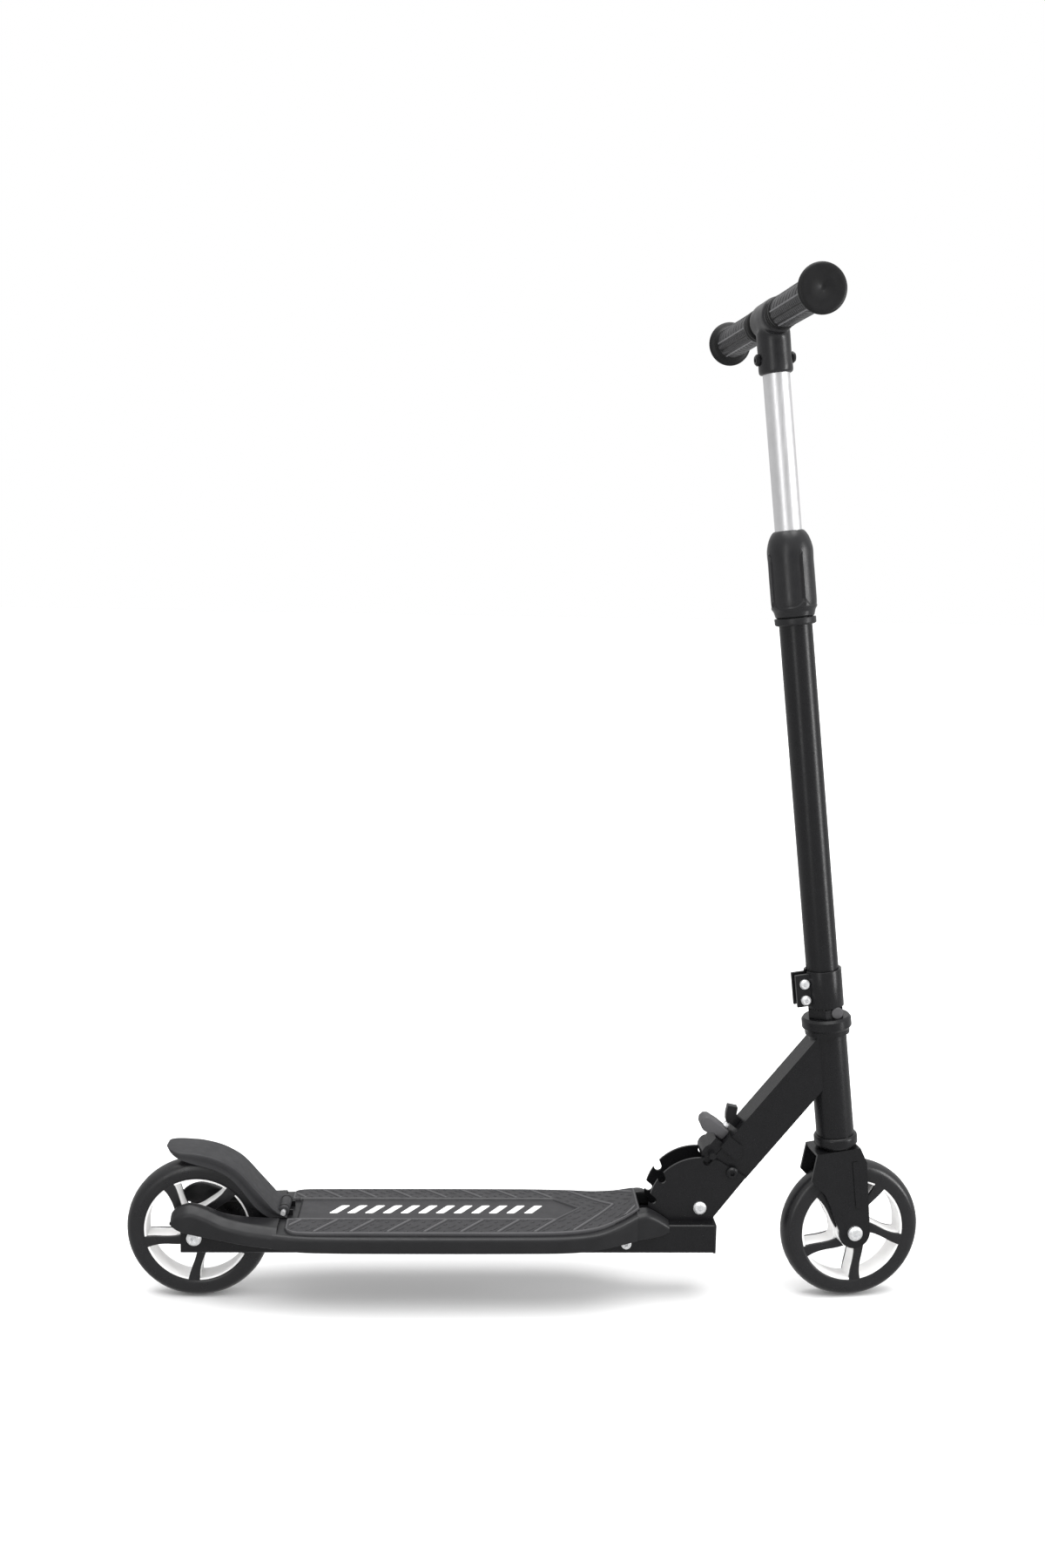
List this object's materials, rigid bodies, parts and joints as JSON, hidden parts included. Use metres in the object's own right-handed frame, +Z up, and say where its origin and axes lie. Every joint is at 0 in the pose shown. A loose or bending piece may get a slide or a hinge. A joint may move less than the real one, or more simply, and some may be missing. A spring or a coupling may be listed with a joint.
{
  "type": "kick scooter",
  "caption": "Folding kick scooter with a height-adjustable handlebar, textured standing deck, foot brake over the rear wheel and spoked wheels in line.",
  "frame": {"origin": "on the floor, midway between the two wheel centres and on the scooter's centre plane", "axes": "+X forward, +Y to the rider's left, +Z up"},
  "size_m": [0.8131, 0.2968, 1.0054],
  "materials": {
    "black_paint": "satin black powder coat on steel",
    "zinc_steel": "bright zinc plate",
    "satin_aluminium": "satin anodised, drawn along the tube",
    "black_plastic": "fine-textured black moulded plastic",
    "grip_mat": "dark grey moulded grip mat with raised ribs and studs",
    "grey_plastic": "dark grey moulded plastic",
    "grip_rubber": "soft black moulded rubber with grooves",
    "wheel_black": "smooth black cast polyurethane",
    "wheel_white": "white moulded nylon"
  },
  "bodies": {
    "deck": {"chassis_rail": "black_paint", "rail_front_plug": "black_plastic", "side_screws": "zinc_steel", "cover_screws": "zinc_steel", "deck_cover": "black_plastic", "deck_mat": "grip_mat", "hinge_cheek_right": "black_paint", "hinge_cheek_left": "black_paint", "hinge_base": "black_paint", "pivot_bolt": "zinc_steel", "pivot_nut": "zinc_steel", "stop_screw": "black_paint", "stop_screw_nut": "black_paint", "rear_axle_bolt": "zinc_steel", "rear_axle_nut": "zinc_steel", "rear_axle_spacers": "zinc_steel", "brake_bracket": "black_paint", "brake_pin": "zinc_steel", "brake_springs": "zinc_steel"},
    "frame": {"down_tube": "black_paint", "pivot_bush": "black_plastic", "spring_tab": "black_paint", "lock_spring": "zinc_steel", "head_tube": "black_paint", "upper_headset_cup": "black_paint", "lower_headset_cup": "black_paint"},
    "lock": {"lock_slider": "black_paint", "lock_knob": "grey_plastic", "lock_pin": "black_paint"},
    "steering": {"fork": "black_paint", "steerer_tube": "zinc_steel", "crown_race": "black_paint", "headset_locknut": "black_paint", "lower_tube": "black_paint", "clamp_collar": "black_paint", "clamp_bolts": "zinc_steel", "clamp_nuts": "zinc_steel", "column_ring": "black_plastic", "guide_bush": "black_plastic", "front_axle_bolt": "zinc_steel", "front_axle_nut": "zinc_steel", "front_axle_spacers": "zinc_steel"},
    "height_lock": {"twist_sleeve": "black_plastic"},
    "handlebar": {"upper_tube": "satin_aluminium", "handlebar_tee": "black_plastic", "crossbar": "black_paint", "tee_bolt": "black_paint", "tee_nut": "black_paint", "right_grip": "grip_rubber", "left_grip": "grip_rubber"},
    "brake": {"fender": "black_plastic", "brake_shoe": "zinc_steel"},
    "rear_wheel": {"rear_rim": "wheel_white", "rear_tyre": "wheel_black", "rear_bearings": "zinc_steel", "rear_bearing_spacer": "zinc_steel"},
    "front_wheel": {"front_rim": "wheel_white", "front_tyre": "wheel_black", "front_bearings": "zinc_steel", "front_bearing_spacer": "zinc_steel"}
  },
  "joints": [
    {"name": "fold", "type": "hinge", "parent": "deck", "child": "frame", "pos_m": [0.175, 0, 0.1], "axis": [0, -1, 0], "range_deg": [0, 88]},
    {"name": "lock_slide", "type": "slide", "parent": "frame", "child": "lock", "axis": [0.6252, 0, 0.7804], "range_m": [-0.0087, 0]},
    {"name": "steer", "type": "hinge", "parent": "frame", "child": "steering", "pos_m": [0.3279, 0, 0.07172], "axis": [-0.1212, 0, 0.9926], "continuous": true},
    {"name": "front_roll", "type": "hinge", "parent": "steering", "child": "front_wheel", "pos_m": [0.33422, 0.00065, 0.0725], "axis": [-0.1003, 0.9949, -0.0122], "continuous": true},
    {"name": "rear_roll", "type": "hinge", "parent": "deck", "child": "rear_wheel", "pos_m": [-0.33425, 0, 0.0725], "axis": [0, 1, 0], "continuous": true},
    {"name": "brake_press", "type": "hinge", "parent": "deck", "child": "brake", "pos_m": [-0.247, 0, 0.094], "axis": [0, 1, 0], "range_deg": [-3, 0], "stiffness_Nm_per_rad": 8, "springref_deg": 4.58},
    {"name": "sleeve_twist", "type": "hinge", "parent": "steering", "child": "height_lock", "pos_m": [0.3279, 0, 0.07172], "axis": [-0.1212, 0, 0.9926], "range_deg": [0, 120]},
    {"name": "bar_height", "type": "slide", "parent": "steering", "child": "handlebar", "axis": [-0.1212, 0, 0.9926], "range_m": [-0.135, 0]}
  ]
}
